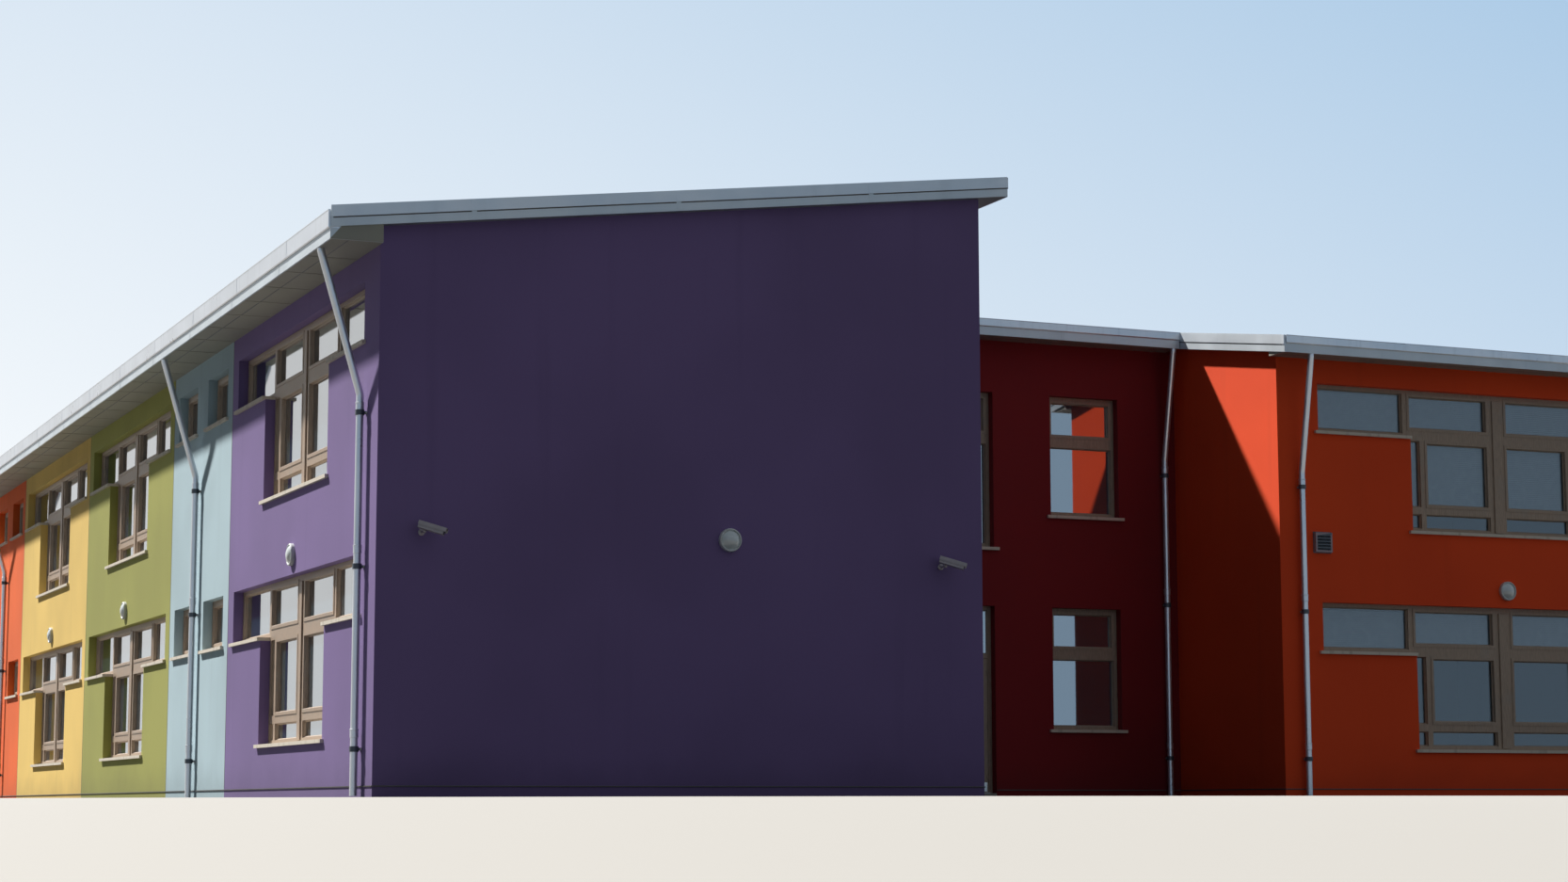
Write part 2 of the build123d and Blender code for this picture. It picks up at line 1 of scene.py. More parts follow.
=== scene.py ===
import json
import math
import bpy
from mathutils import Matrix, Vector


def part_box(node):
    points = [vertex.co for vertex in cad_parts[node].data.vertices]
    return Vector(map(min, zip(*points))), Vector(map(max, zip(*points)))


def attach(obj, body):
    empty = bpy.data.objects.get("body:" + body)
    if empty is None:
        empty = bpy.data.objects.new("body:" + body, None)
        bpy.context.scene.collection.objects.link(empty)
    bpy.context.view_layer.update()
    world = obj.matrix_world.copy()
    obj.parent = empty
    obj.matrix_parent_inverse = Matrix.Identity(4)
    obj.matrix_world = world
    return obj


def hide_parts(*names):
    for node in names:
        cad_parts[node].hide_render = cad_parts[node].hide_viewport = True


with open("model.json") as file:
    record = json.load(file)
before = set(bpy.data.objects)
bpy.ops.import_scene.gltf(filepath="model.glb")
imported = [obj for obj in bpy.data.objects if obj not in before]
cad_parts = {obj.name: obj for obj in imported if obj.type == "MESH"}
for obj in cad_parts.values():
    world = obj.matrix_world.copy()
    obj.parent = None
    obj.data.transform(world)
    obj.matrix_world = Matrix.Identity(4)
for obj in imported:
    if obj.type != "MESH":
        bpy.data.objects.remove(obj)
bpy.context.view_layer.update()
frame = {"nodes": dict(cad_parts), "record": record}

# School building in coloured render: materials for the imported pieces, and the detail that is finer than
# they are. Everything is in metres. Places on the building are given from the gable's left corner at the
# ground, with X along the gable, Y along the classroom block and Z up.

from types import SimpleNamespace

import bmesh
import bpy
from mathutils import Matrix, Vector

BODY = "building"
DOOR = "door"
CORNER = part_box("gable_wall")[0]

# The building, as the frame has it: storeys and walls
STOREY = 3.6
WALL = 0.35
FLOOR = 0.1
BLOCK_WIDTH = 8.73
BLOCK_LENGTH = 33.57
PURPLE_END, BLUE_END, GREEN_END, YELLOW_END = 8.47, 12.92, 21.02, 29.12
WING_FRONT, RECESS_FRONT, RETURN_AT = 3.49, 6.67, 15.98
WING_RIGHT, WING_BACK = 24.92, 10.75
FOOT_BEAD_LOW, FOOT_BEAD_HIGH = 0.145, 0.16

# Roofs and eaves; each stretch is the length up the slope of a metre on plan
ROOF_DEPTH = 0.28
BLOCK_TOP, BLOCK_SLOPE = 7.65, 0.125
WING_TOP, WING_SLOPE = 7.515, 0.163
BLOCK_STRETCH, WING_STRETCH = math.hypot(1, BLOCK_SLOPE), math.hypot(1, WING_SLOPE)
EAVE_OVERHANG, WING_OVERHANG = 0.56, 0.35
EAVE, HIGH_EDGE = -EAVE_OVERHANG, 9.11
BOARD, GUTTER_WIDTH, EAVE_BOARD = 0.025, 0.12, 0.14
FLASHING, FLASHING_DEPTH = 0.037, ROOF_DEPTH * 0.55
BLOCK_RIM, WING_RIM, WING_SOFFIT_GAP = 0.07, 0.025, 0.02
VERGE = -0.13
WING_EAVE, RECESS_EAVE, WING_EDGE, RETURN_VERGE = 3.14, 6.32, 11.13, 15.85
SOFFIT = 7.13

# Windows and entrance
REVEAL, GLASS_FACE = 0.15, 0.2085
MEMBER, SLIM, POST, TRANSOM = 0.06, 0.1, 0.33, 0.17
TEE_HALF, STEM_HALF = 3.68, 1.86
LOW_SILL, WING_SILL, HEAD = 0.75, 2.33, 3.17
SILL = 0.05
LOW_TRANSOM_AT, LOW_TRANSOM, SIDELIGHT = 1.1, 0.12, 0.23
WASH_INNER, WASH_WIDTH = 0.4, 1.45
UPRIGHT_WIDTH, UPRIGHT_SILL, UPRIGHT_HEAD, UPRIGHT_TRANSOM = 1.32, 1.11, 3.2, 2.34
ENTRANCE_LEFT, ENTRANCE_RIGHT, ENTRANCE_HEAD = 10.94, 12.44, 3.2
STAIR_SILL = 0.53
TEE_CENTRES = (4.42, 16.97, 25.07)
WASH_CENTRES = (10.695, 31.345)
WING_TEE, RECESS_WINDOW = 20.45, 14.19
YARD_SHARES, LINK_SHARES, PAIR_OFFSET = (0.33, 0.72), (0.3, 0.75), 2.0

# Pipes, lamps, cameras and vent
STREET_PIPES, RECESS_PIPE, WING_PIPE, BEND_DROP = (0.56, *WASH_CENTRES), 15.72, 16.37, 1.9
LAMP_HEIGHT, GABLE_LAMP = 3.45, 4.9
CAMERAS = ((0.6, 3.4), (BLOCK_WIDTH - 0.65, 3.19))
VENT, VENT_HALF, VENT_INNER = (16.79, 4.14), 0.16, 0.128


def face(x, y, degrees=0):
    """A wall's face as a place: u runs along the wall, d into it and z up."""
    return Matrix.Translation(CORNER + Vector((x, y, 0))) @ Matrix.Rotation(math.radians(degrees), 4, "Z")


GABLE = face(0, 0)
STREET = face(0, 0, -90)
YARD = face(BLOCK_WIDTH, 0, 90)
RECESS = face(0, RECESS_FRONT)
RETURN = face(RETURN_AT, 0, -90)
WING = face(0, WING_FRONT)
REAR = face(0, WING_BACK, 180)
TEES = [(STREET, -y) for y in TEE_CENTRES] + [(WING, WING_TEE)]

# Turns a place so that its Z points out of the wall
OUTWARD = Matrix.Rotation(math.pi / 2, 4, "X")


def eave(place, overhang, top, foot, drop, u0, u1):
    """The low edge of a roof: depths of its edge and the gutter's faces, and the gutter's heights."""
    back = -overhang - BOARD
    return SimpleNamespace(place=place, edge=-overhang, back=back, out=back - GUTTER_WIDTH, foot=foot,
                           floor=foot + EAVE_BOARD, rim=top - drop, u0=u0, u1=u1)


def wing_eave(place, edge, u0, u1):
    """A low edge of the wing's roof, which starts further back over the recess."""
    top = WING_TOP + WING_SLOPE * (edge - WING_FRONT)
    return eave(place, WING_OVERHANG, top, top - ROOF_DEPTH - WING_SOFFIT_GAP, WING_RIM, u0, u1)


BLOCK_EDGE_TOP = BLOCK_TOP - BLOCK_SLOPE * EAVE_OVERHANG
EAVES = [
    eave(STREET, EAVE_OVERHANG, BLOCK_EDGE_TOP, SOFFIT, BLOCK_RIM, -BLOCK_LENGTH, -VERGE),
    wing_eave(WING, WING_EAVE, RETURN_VERGE, WING_RIGHT),
    wing_eave(RECESS, RECESS_EAVE, BLOCK_WIDTH, RETURN_VERGE - FLASHING),
]


def spaced(pitch, start, stop):
    """The places from start to before stop, a pitch apart."""
    while start < stop:
        yield start
        start += pitch


def along(e, pitch, first, last):
    """The places along an eave, a pitch apart, from first after its start to last before its end."""
    return spaced(pitch, e.u0 + first, e.u1 - last)


def placed(name, data):
    """A new object in the scene."""
    made = bpy.data.objects.new(name, data)
    bpy.context.scene.collection.objects.link(made)
    return made


def srgb(red, green, blue):
    """A screen colour, 0 to 255, as the linear colour that a shader takes."""
    return tuple((c / 255) ** 2.2 for c in (red, green, blue)) + (1.0,)


# Materials

# The sockets of a Mix node for colours
MIX_FIRST, MIX_SECOND, MIXED = 6, 7, 2


class Look:
    """A node material: its shader, and short calls that add and join nodes."""

    def __init__(self, name, colour, roughness, **sockets):
        self.material = bpy.data.materials.new(name)
        self.material.use_nodes = True
        self.nodes = self.material.node_tree.nodes
        self.links = self.material.node_tree.links
        self.shader = self.nodes["Principled BSDF"]
        self.colour = colour
        self.shader.inputs["Base Color"].default_value = colour
        self.shader.inputs["Roughness"].default_value = roughness
        for socket, value in sockets.items():
            self.shader.inputs[socket.replace("_", " ")].default_value = value
        self.place = self.nodes.new("ShaderNodeTexCoord").outputs["Object"]

    def stretched(self, scale):
        node = self.nodes.new("ShaderNodeMapping")
        node.inputs["Scale"].default_value = scale
        self.links.new(self.place, node.inputs["Vector"])
        return node.outputs["Vector"]

    def noise(self, scale, detail=3.0, stretch=None):
        node = self.nodes.new("ShaderNodeTexNoise")
        node.inputs["Scale"].default_value = scale
        node.inputs["Detail"].default_value = detail
        self.links.new(self.stretched(stretch) if stretch else self.place, node.inputs["Vector"])
        return node.outputs["Fac"]

    def ranged(self, value, low, high, out_low=0.0, out_high=1.0):
        """The value from low to high brought smoothly to out_low to out_high."""
        node = self.nodes.new("ShaderNodeMapRange")
        node.interpolation_type = "SMOOTHSTEP"
        sockets = ("From Min", "From Max", "To Min", "To Max")
        for socket, number in zip(sockets, (low, high, out_low, out_high)):
            node.inputs[socket].default_value = number
        self.links.new(value, node.inputs["Value"])
        return node.outputs["Result"]

    def maths(self, operation, first, second):
        node = self.nodes.new("ShaderNodeMath")
        node.operation = operation
        for socket, value in zip(node.inputs, (first, second)):
            if isinstance(value, (int, float)):
                socket.default_value = value
            else:
                self.links.new(value, socket)
        return node.outputs["Value"]

    def axis(self, letter):
        node = self.nodes.new("ShaderNodeSeparateXYZ")
        self.links.new(self.place, node.inputs["Vector"])
        return node.outputs[letter]

    def mix(self, amount, first, second):
        node = self.nodes.new("ShaderNodeMix")
        node.data_type = "RGBA"
        self.links.new(amount, node.inputs["Factor"])
        for socket, value in ((MIX_FIRST, first), (MIX_SECOND, second)):
            if isinstance(value, tuple):
                node.inputs[socket].default_value = value
            else:
                self.links.new(value, node.inputs[socket])
        return node.outputs[MIXED]

    def tint(self, factor):
        """The base colour made darker or lighter."""
        return tuple(min(1.0, c * factor) for c in self.colour[:3]) + (1.0,)

    def paint(self, colour):
        self.links.new(colour, self.shader.inputs["Base Color"])

    def rough(self, value, low, high):
        """Roughness from low to high, with the value."""
        self.links.new(self.ranged(value, 0.3, 0.7, low, high), self.shader.inputs["Roughness"])

    def bump(self, height, distance, strength=1.0):
        """A bump over those that the shader already has."""
        node = self.nodes.new("ShaderNodeBump")
        node.inputs["Distance"].default_value = distance
        node.inputs["Strength"].default_value = strength
        self.links.new(height, node.inputs["Height"])
        if self.shader.inputs["Normal"].is_linked:
            self.links.new(self.shader.inputs["Normal"].links[0].from_socket, node.inputs["Normal"])
        self.links.new(node.outputs["Normal"], self.shader.inputs["Normal"])


def render_coat(name, colour):
    """Fine render: slow changes of tone, faint runs of rain, darker towards the foot, and a sandy grain."""
    look = Look(name, colour, 0.86)
    tone = look.mix(look.ranged(look.noise(0.35, 2.0), 0.3, 0.7), look.tint(0.9), look.tint(1.09))
    runs = look.ranged(look.noise(1.0, 4.0, (3.2, 3.2, 0.16)), 0.55, 0.8, 0.0, 0.3)
    tone = look.mix(runs, tone, look.tint(0.72))
    grain = look.noise(210.0, 2.0)
    tone = look.mix(look.ranged(grain, 0.35, 0.65, 0.0, 0.22), tone, look.tint(0.78))
    edge = look.maths("ADD", look.axis("Z"), look.maths("MULTIPLY", look.noise(1.6, 4.0), 0.5))
    darker_low = look.ranged(edge, 0.25, 0.95, 0.5, 0.0)
    tone = look.mix(darker_low, tone, look.tint(0.55))
    look.paint(tone)
    look.bump(look.noise(2.2, 2.0), 0.004, 0.5)
    look.bump(grain, 0.0016, 0.7)
    return look.material


def plaster_coat():
    look = Look("plaster", srgb(226, 222, 212), 0.8)
    look.paint(look.mix(look.noise(0.8, 3.0), look.tint(0.94), look.tint(1.0)))
    look.bump(look.noise(35.0, 2.0), 0.001, 0.4)
    return look.material


def block_courses():
    """Fair-faced blockwork: the courses run on round both party walls."""
    look = Look("blockwork", srgb(158, 153, 144), 0.9)
    joined = look.nodes.new("ShaderNodeCombineXYZ")
    look.links.new(look.maths("ADD", look.axis("X"), look.axis("Y")), joined.inputs["X"])
    look.links.new(look.axis("Z"), joined.inputs["Y"])
    brick = look.nodes.new("ShaderNodeTexBrick")
    look.links.new(joined.outputs["Vector"], brick.inputs["Vector"])
    sizes = {
        "Scale": 1.0, "Mortar Size": 0.006, "Mortar Smooth": 0.2, "Brick Width": 0.45, "Row Height": 0.225,
    }
    for socket, value in sizes.items():
        brick.inputs[socket].default_value = value
    brick.inputs["Color1"].default_value = look.tint(0.88)
    brick.inputs["Color2"].default_value = look.tint(1.08)
    brick.inputs["Mortar"].default_value = look.tint(0.66)
    pores = look.noise(90.0, 3.0)
    look.paint(look.mix(look.ranged(pores, 0.42, 0.6, 0.0, 0.35), brick.outputs["Color"], look.tint(0.6)))
    look.bump(look.maths("SUBTRACT", 1.0, brick.outputs["Fac"]), 0.004)
    look.bump(pores, 0.002, 0.6)
    return look.material


def coated_metal(name, colour, roughness, stretch, dirt=0.25, metallic=0.0):
    """Factory-coated sheet with dull patches and faint runs."""
    look = Look(name, colour, roughness, Metallic=metallic)
    patches = look.noise(1.1, 4.0)
    tone = look.mix(look.ranged(patches, 0.35, 0.65), look.tint(0.93), look.tint(1.05))
    runs = look.ranged(look.noise(1.0, 5.0, stretch), 0.5, 0.78, 0.0, dirt)
    look.paint(look.mix(runs, tone, look.tint(0.62)))
    look.rough(patches, roughness - 0.08, roughness + 0.1)
    look.bump(look.noise(14.0, 2.0), 0.0006, 0.4)
    return look.material


def stained_timber(name, colour):
    """Stained joinery: grain along the posts, and weathered patches."""
    look = Look(name, colour, 0.55)
    grain = look.noise(1.0, 6.0, (170.0, 170.0, 7.0))
    tone = look.mix(look.ranged(grain, 0.35, 0.65), look.tint(0.78), look.tint(1.12))
    worn = look.ranged(look.noise(2.6, 4.0), 0.52, 0.75, 0.0, 0.35)
    look.paint(look.mix(worn, tone, srgb(152, 148, 140)))
    look.rough(grain, 0.45, 0.68)
    look.bump(grain, 0.0006, 0.5)
    return look.material


def cast_stone():
    """Cast sills: pale, with rain marks and fine pits."""
    look = Look("cast_stone", srgb(226, 218, 204), 0.8)
    tone = look.mix(look.noise(1.4, 4.0), look.tint(0.88), look.tint(1.04))
    marks = look.ranged(look.noise(1.0, 4.0, (9.0, 9.0, 1.2)), 0.52, 0.75, 0.0, 0.4)
    look.paint(look.mix(marks, tone, srgb(140, 132, 118)))
    look.bump(look.noise(160.0, 2.0), 0.001, 0.6)
    return look.material


def floated_concrete():
    look = Look("floated_concrete", srgb(150, 147, 140), 0.75)
    look.paint(look.mix(look.noise(0.9, 5.0), look.tint(0.85), look.tint(1.08)))
    look.bump(look.noise(60.0, 4.0), 0.001, 0.5)
    return look.material


def window_glass(name, alpha, index):
    """Sealed panes with a cool colour and a slow ripple; the index stands for all their faces together."""
    look = Look(name, srgb(58, 84, 98), 0.03, IOR=index, Alpha=alpha, Coat_Weight=1.0, Coat_IOR=index,
                Coat_Roughness=0.02)
    look.paint(look.mix(look.noise(0.5, 2.0), look.tint(0.85), look.tint(1.1)))
    look.bump(look.noise(0.9, 1.0), 0.004, 0.25)
    return look.material


def brushed_steel():
    look = Look("brushed_steel", srgb(176, 176, 174), 0.3, Metallic=1.0)
    brushed = look.noise(1.0, 3.0, (30.0, 30.0, 900.0))
    look.paint(look.mix(brushed, look.tint(0.85), look.tint(1.1)))
    look.rough(brushed, 0.22, 0.4)
    return look.material


def moulded(name, colour, roughness):
    """Moulded plastic with a fine grain and some yellowing."""
    look = Look(name, colour, roughness)
    look.paint(look.mix(look.ranged(look.noise(9.0, 3.0), 0.4, 0.7), look.tint(0.93), look.tint(1.04)))
    look.bump(look.noise(420.0, 2.0), 0.0004, 0.4)
    return look.material


def opal_lens():
    """Opal polycarbonate, a little uneven."""
    look = Look("opal_lens", srgb(224, 234, 236), 0.3, Coat_Weight=0.4)
    look.paint(look.mix(look.ranged(look.noise(12.0, 3.0), 0.4, 0.7), look.tint(0.9), look.tint(1.05)))
    look.bump(look.noise(30.0, 2.0), 0.001, 0.3)
    return look.material


RENDERS = {
    "purple_render": srgb(120, 101, 152),
    "blue_render": srgb(178, 203, 214),
    "green_render": srgb(156, 157, 82),
    "yellow_render": srgb(240, 205, 118),
    "orange_render": srgb(240, 106, 46),
    "red_render": srgb(124, 18, 26),
    "rust_render": srgb(252, 80, 28),
}
LOOKS = {name: render_coat(name, colour) for name, colour in RENDERS.items()}
LOOKS.update({
    "concrete": block_courses(),
    "roof_sheet": coated_metal("roof_sheet", srgb(134, 140, 146), 0.45, (0.4, 0.4, 2.0)),
    "flashing": coated_metal("flashing", srgb(212, 220, 228), 0.4, (2.4, 2.4, 0.6), metallic=0.3),
    "fascia": coated_metal("fascia", srgb(206, 216, 224), 0.42, (2.4, 2.4, 0.6), metallic=0.2),
    "soffit": coated_metal("soffit", srgb(154, 154, 143), 0.6, (1.0, 1.0, 1.0)),
    "rainwater_metal": coated_metal("rainwater_metal", srgb(206, 210, 216), 0.34, (9.0, 9.0, 0.5),
                                    dirt=0.3, metallic=0.55),
    "joinery": stained_timber("joinery", srgb(168, 148, 130)),
    "glass": window_glass("window_glass", alpha=0.88, index=2.8),
    "sill": cast_stone(),
    "steel": brushed_steel(),
    "lamp_body": moulded("lamp_body", srgb(206, 212, 214), 0.5),
    "lamp_lens": opal_lens(),
    "camera_shell": moulded("camera_shell", srgb(190, 182, 186), 0.4),
})
PLASTER = plaster_coat()
FLOATED = floated_concrete()
SHADE = moulded("shade", srgb(34, 35, 38), 0.5)
SLATS = moulded("slats", srgb(205, 222, 234), 0.55)
# Dark grey for the sealed joints between the colours and for the foot beads; on the lines under the
# flashings it is painted shadow
DARK_GREY_AND_SHADOW = moulded("dark_grey_and_painted_shadow", srgb(88, 86, 84), 0.7)
# Dark grey metal for the pipe brackets and the soffit vents; in the wall vent the same dark grey is painted
# shade, standing for its hollow inside
DARK_METAL_AND_VENT_SHADE = coated_metal("dark_metal_and_vent_shade", srgb(74, 82, 92), 0.45, (6.0, 6.0, 2.0))
CLEAR = window_glass("clear_glass", alpha=0.3, index=2.1)
GRILLE = coated_metal("vent_metal", srgb(158, 142, 150), 0.5, (6.0, 6.0, 2.0))
# Painted shade: a darker grey for the up-facing faces of the pale flashings, verge boards and gutters, and
# for the roof cappings, so that the strong sun does not burn them white
PAINTED_SHADE_TOPS = coated_metal("painted_shade_tops", srgb(142, 147, 151), 0.55, (0.6, 0.6, 1.2))

# The rooms, whose walls are plastered, and how far in front of a wall a point is tested for being in one
ROOMS = [
    (WALL, BLOCK_WIDTH - WALL, WALL, BLOCK_LENGTH - WALL),
    (RETURN_AT + WALL, WING_RIGHT - WALL, WING_FRONT + WALL, WING_BACK - WALL),
    (BLOCK_WIDTH, RETURN_AT + WALL, RECESS_FRONT + WALL, WING_BACK - WALL),
]
SKIN = 0.02


def on_the_room_side(middle, normal):
    x, y = (middle + normal * SKIN).xy
    return any(x0 <= x <= x1 and y0 <= y <= y1 for x0, x1, y0, y1 in ROOMS)


def closes_an_eave(middle, normal):
    """The boxed ends of the eaves, under the verges."""
    at_the_gable = normal.y < -0.9 and middle.x > EAVE and middle.y < 0
    return at_the_gable or (normal.x < -0.9 and middle.x > RETURN_VERGE - 0.01)


def faces_up(_, normal):
    return normal.z > 0.9


def outside_the_recess(middle, _):
    return middle.x > RETURN_AT or middle.x < BLOCK_WIDTH


# The bars inside the vent's rim, which get the dark grey as painted shade of the hollow behind them
def within_the_vent(middle, _):
    x, z = VENT
    return max(abs(middle.x - x), abs(middle.z - z)) < VENT_INNER - 0.002


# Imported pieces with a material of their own, by the last word of the name, and those with some such faces,
# which are picked by their middle and normal
OWN_MATERIALS = {"floors": FLOATED, "brackets": DARK_METAL_AND_VENT_SHADE, "vent": GRILLE}
OWN_FACES = {
    "eave_boards": (LOOKS["soffit"], closes_an_eave),
    # The up-facing faces of flashings, verge boards and gutters take the painted shade of the tops
    "roof_flashings": (PAINTED_SHADE_TOPS, faces_up),
    "verge_boards": (PAINTED_SHADE_TOPS, faces_up),
    "gutters": (PAINTED_SHADE_TOPS, faces_up),
    "wing_window_glass": (CLEAR, outside_the_recess),
    "yard_window_glass": (CLEAR, outside_the_recess),
    "wall_vent": (DARK_METAL_AND_VENT_SHADE, within_the_vent),
}


def own_faces(mesh, material, chosen):
    mesh.materials.append(material)
    for polygon in mesh.polygons:
        if chosen(polygon.center - CORNER, polygon.normal):
            polygon.material_index = len(mesh.materials) - 1


def dress_nodes():
    """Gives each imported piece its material, and plaster to the room side of the walls."""
    slots = {row["node"]: row["material_slot"] for row in frame["record"]["subparts"]}
    for name, node in frame["nodes"].items():
        mesh = node.data
        mesh.materials.clear()
        mesh.materials.append(OWN_MATERIALS.get(name.split("_")[-1], LOOKS[slots[name]]))
        if "_wall" in name:
            own_faces(mesh, PLASTER, on_the_room_side)
        if name in OWN_FACES:
            own_faces(mesh, *OWN_FACES[name])


# Mesh pieces


class Piece:
    """A mesh made of small solids, that rides on a body."""

    def __init__(self, name, slot, body=BODY, material=None):
        self.name, self.slot, self.body = name, slot, body
        self.material = material or LOOKS[slot]
        self.mesh = bmesh.new()

    def box(self, place, u0, u1, d0, d1, z0, z1):
        corners = [(u, d, z) for z in (z0, z1) for u, d in ((u0, d0), (u1, d0), (u1, d1), (u0, d1))]
        ring = [self.mesh.verts.new(place @ Vector(corner)) for corner in corners]
        for side in ((3, 2, 1, 0), (4, 5, 6, 7), (0, 1, 5, 4), (1, 2, 6, 5), (2, 3, 7, 6), (3, 0, 4, 7)):
            self.mesh.faces.new([ring[k] for k in side])

    def surround(self, place, rectangle, profile):
        """A mitred moulding round a rectangle (u0, u1, z0, z1); profile has (inset, d) points, closed."""
        u0, u1, z0, z1 = rectangle
        rings = [
            [self.mesh.verts.new(place @ Vector(p)) for p in (
                (u0 + inset, d, z0 + inset), (u1 - inset, d, z0 + inset),
                (u1 - inset, d, z1 - inset), (u0 + inset, d, z1 - inset))]
            for inset, d in profile
        ]
        for inner, outer in zip(rings, rings[1:] + rings[:1]):
            for k in range(4):
                n = (k + 1) % 4
                self.mesh.faces.new((inner[k], inner[n], outer[n], outer[k]))

    def drawn(self, place, section, u0, u1):
        """A straight moulding from u0 to u1; section has (d, z) points, closed."""
        ends = [[self.mesh.verts.new(place @ Vector((u, d, z))) for d, z in section] for u in (u0, u1)]
        for k in range(len(section)):
            n = (k + 1) % len(section)
            self.mesh.faces.new((ends[0][k], ends[0][n], ends[1][n], ends[1][k]))
        for ring in ends:
            self.mesh.faces.new(ring)

    def turned(self, place, profile, steps=40):
        """A turned solid about the place's own Z; profile has (radius, height) points, axis to axis."""
        rows = []
        for radius, height in profile:
            if radius == 0:
                rows.append([self.mesh.verts.new(place @ Vector((0, 0, height)))])
                continue
            angles = [math.tau * k / steps for k in range(steps)]
            rows.append([
                self.mesh.verts.new(place @ Vector((radius * math.cos(a), radius * math.sin(a), height)))
                for a in angles
            ])
        for low, high in zip(rows, rows[1:]):
            for k in range(steps):
                n = (k + 1) % steps
                quad = [low[k % len(low)], low[n % len(low)], high[n % len(high)], high[k % len(high)]]
                corners = list(dict.fromkeys(quad))
                if len(corners) > 2:
                    self.mesh.faces.new(corners)

    def ringed(self, place, profile, steps=40):
        """A closed ring about the place's own Z; profile has (radius, height) points of its section."""
        self.turned(place, list(profile) + [profile[0]], steps)

    def finish(self, bevel=0.0, smooth=False, replaces=()):
        bmesh.ops.remove_doubles(self.mesh, verts=self.mesh.verts, dist=1e-6)
        bmesh.ops.recalc_face_normals(self.mesh, faces=self.mesh.faces)
        data = bpy.data.meshes.new(self.name)
        self.mesh.to_mesh(data)
        self.mesh.free()
        made = placed(self.name, data)
        data.materials.append(self.material)
        if smooth:
            data.shade_smooth()
            data.set_sharp_from_angle(angle=math.radians(38))
        if bevel:
            edge = made.modifiers.new("edges", "BEVEL")
            edge.width = bevel
            edge.limit_method = "ANGLE"
        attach(made, self.body)
        if replaces:
            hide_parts(*replaces)


# Windows

# Sections of the opening sashes and of the fixed panes' beads
SASH = [
    (0.0, GLASS_FACE), (0.0, 0.149), (-0.008, 0.149), (-0.008, 0.14), (0.038, 0.14), (0.045, 0.148),
    (0.045, 0.19), (0.057, 0.197), (0.057, GLASS_FACE),
]
BEAD = [(0.0, GLASS_FACE), (0.0, 0.176), (0.006, 0.176), (0.02, 0.196), (0.02, GLASS_FACE)]


def tee_panes(centre, level):
    """Fixed and opening panes of a T-shaped window, as (u0, u1, z0, z1)."""
    top = level + HEAD - MEMBER
    band_foot = level + WING_SILL + SILL + MEMBER
    light_foot = level + WING_SILL + TRANSOM
    low_foot = level + LOW_SILL + SILL + MEMBER
    jamb = STEM_HALF - MEMBER
    casement = jamb - SIDELIGHT - SLIM
    rows = ((low_foot, level + LOW_TRANSOM_AT), (level + LOW_TRANSOM_AT + LOW_TRANSOM, level + WING_SILL))
    fixed = [(STEM_HALF + SLIM / 2, TEE_HALF - MEMBER, band_foot, top)]
    fixed += [(jamb - SIDELIGHT, jamb, z0, z1) for z0, z1 in rows]
    fixed.append((POST / 2, casement, *rows[0]))
    opening = [(POST / 2, STEM_HALF - SLIM / 2, light_foot, top), (POST / 2, casement, *rows[1])]

    def both_sides(panes):
        return [
            (*sorted((centre + side * near, centre + side * far)), z0, z1)
            for near, far, z0, z1 in panes for side in (-1, 1)
        ]

    return both_sides(fixed), both_sides(opening)


def wash_panes(centre, level):
    u0, u1 = centre - WASH_WIDTH / 2 + MEMBER, centre + WASH_WIDTH / 2 - MEMBER
    return [], [(u0, u1, level + WING_SILL + SILL + MEMBER, level + HEAD - MEMBER)]


def upright_panes(centre, level, width=UPRIGHT_WIDTH, foot=UPRIGHT_SILL):
    u0, u1 = centre - width / 2 + MEMBER, centre + width / 2 - MEMBER
    transom = level + UPRIGHT_TRANSOM
    low = (u0, u1, level + foot + SILL + MEMBER, transom)
    return [low], [(u0, u1, transom + TRANSOM, level + UPRIGHT_HEAD - MEMBER)]


def every_storey(panes, centres):
    return [panes(centre, level) for centre in centres for level in (0, STOREY)]


def washroom_centres():
    offset = WASH_INNER + WASH_WIDTH / 2
    return [-y + side * offset for y in WASH_CENTRES for side in (-1, 1)]


def window_groups():
    """Each group's name, with its wall faces and the panes on them."""
    entrance = (ENTRANCE_LEFT + ENTRANCE_RIGHT) / 2
    stair = upright_panes(entrance, STOREY, ENTRANCE_RIGHT - ENTRANCE_LEFT, STAIR_SILL)
    recess = every_storey(upright_panes, [RECESS_WINDOW]) + [stair]
    street = every_storey(tee_panes, [-y for y in TEE_CENTRES])
    street += every_storey(wash_panes, washroom_centres())
    yard = [RECESS_FRONT * share for share in YARD_SHARES]
    yard += [centre + side * PAIR_OFFSET for centre in TEE_CENTRES[1:] for side in (-1, 1)]
    yard.append(WASH_CENTRES[1])
    rear = [-(WING_TEE + side * PAIR_OFFSET) for side in (-1, 1)]
    rear += [-(BLOCK_WIDTH + (RETURN_AT - BLOCK_WIDTH) * share) for share in LINK_SHARES]
    return {
        "street": [(STREET, street)],
        "wing": [(WING, every_storey(tee_panes, [WING_TEE])), (RECESS, recess)],
        "yard": [(YARD, every_storey(upright_panes, yard))],
        "rear": [(REAR, every_storey(upright_panes, rear))],
    }


def sashes():
    """Opening sashes that lip over their frames, and the beads of the fixed panes."""
    for group, faces in window_groups().items():
        piece = Piece(group + "_window_sashes", "joinery")
        for place, windows in faces:
            for fixed, opening in windows:
                for pane in fixed:
                    piece.surround(place, pane, BEAD)
                for pane in opening:
                    piece.surround(place, pane, SASH)
        piece.finish()


def post_covers():
    """Raised boards on the wide centre posts of the T-shaped windows."""
    half, proud, gap = 0.085, 0.022, 0.03
    piece = Piece("post_cover_boards", "joinery")
    for place, centre in TEES:
        for level in (0, STOREY):
            z0, z1 = level + LOW_SILL + SILL + gap, level + HEAD - MEMBER - gap
            piece.box(place, centre - half, centre + half, REVEAL - proud, REVEAL, z0, z1)
    piece.finish(bevel=0.006)


